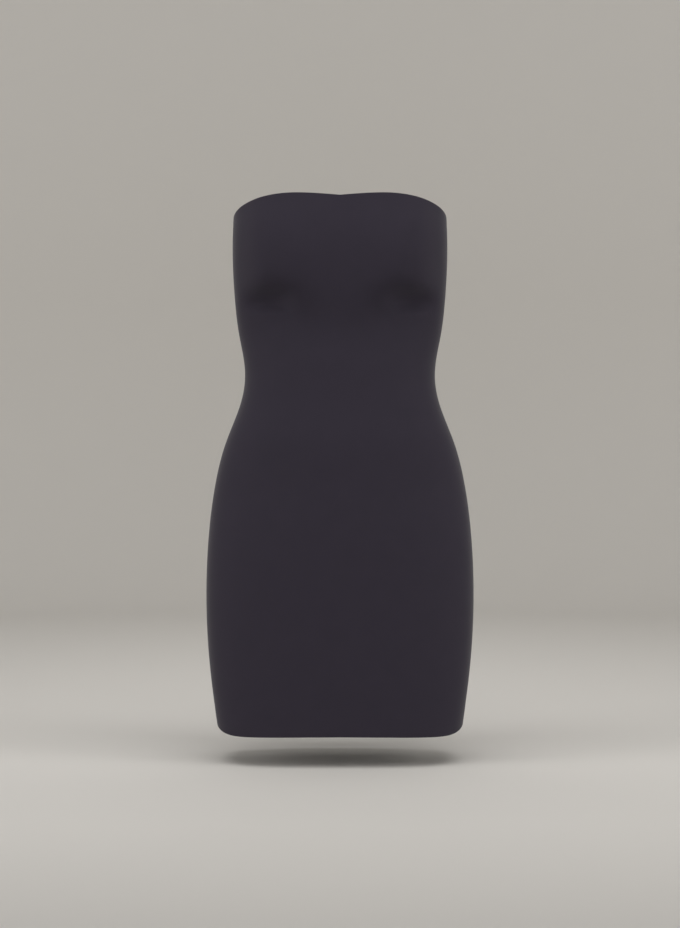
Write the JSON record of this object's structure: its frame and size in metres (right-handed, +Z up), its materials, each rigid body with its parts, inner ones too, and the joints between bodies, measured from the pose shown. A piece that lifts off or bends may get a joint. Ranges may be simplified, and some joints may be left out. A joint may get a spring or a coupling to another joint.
{
  "type": "strapless dress",
  "caption": "Strapless close-fitting short dress in plain stretch jersey, hollow and filled out as worn, open at the neckline and the hem.",
  "frame": {"origin": "centre of the neckline ring at underarm level, where the wearer's chest holds the dress", "axes": "+Z up the wearer, -Y to the front, X across, with the side seams in the plane Y = 0"},
  "size_m": [0.3492, 0.2347, 0.6889],
  "materials": {
    "jersey": "matte charcoal double-layer stretch jersey, with a soft sheen where it turns away"
  },
  "bodies": {
    "root": {"dress_front": "jersey", "dress_back": "jersey"}
  },
  "joints": []
}
